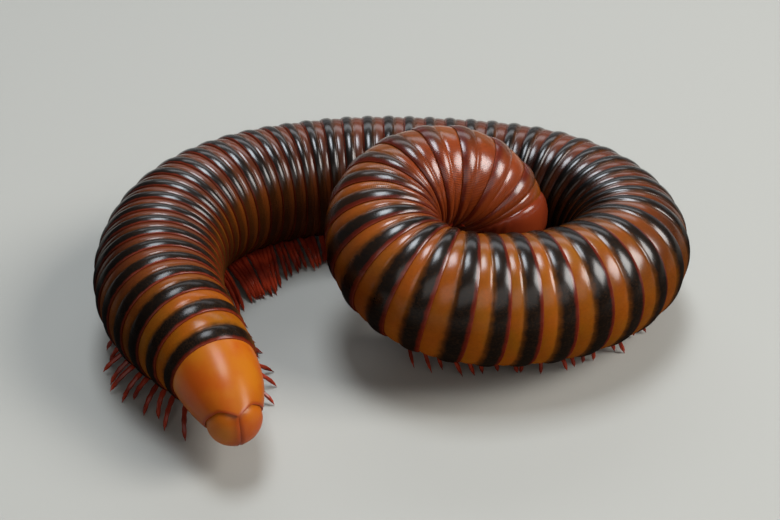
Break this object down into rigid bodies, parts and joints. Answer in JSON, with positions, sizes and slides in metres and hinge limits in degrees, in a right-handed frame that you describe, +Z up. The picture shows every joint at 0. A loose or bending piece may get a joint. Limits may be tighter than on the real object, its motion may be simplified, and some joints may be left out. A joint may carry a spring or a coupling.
{
  "type": "millipede",
  "caption": "Large cylindrical millipede at rest, its ringed orange and black body lying in a flat coil, with the head in the middle.",
  "frame": {"origin": "centre of the bounding box, on the floor it stands on", "axes": "+Z up, +X to the right of the picture along the longer side of the coil, +Y away from the viewer"},
  "size_m": [0.0604, 0.0476, 0.0194],
  "materials": {
    "ring_shell": "glossy horny shell, banded orange and black",
    "tail_shell": "glossy orange horny shell",
    "head_shell": "glossy red-brown horny shell",
    "horn": "dark brown horn",
    "eye": "black, pebbled",
    "antenna": "dark red, finely haired"
  },
  "bodies": {
    "root": {"anal_valve_left": "tail_shell", "anal_valve_right": "tail_shell", "antenna_left": "antenna", "antenna_right": "antenna", "body_length_1": "ring_shell", "body_length_2": "ring_shell", "body_length_3": "ring_shell", "body_length_4": "ring_shell", "body_length_5": "ring_shell", "body_length_6": "ring_shell", "body_length_7": "ring_shell", "body_length_8": "ring_shell", "body_length_9": "ring_shell", "collum": "head_shell", "eye_left": "eye", "eye_right": "eye", "head": "head_shell", "lip_plate": "horn", "mandible_left": "horn", "mandible_right": "horn", "preanal_ring": "tail_shell"}
  },
  "joints": []
}
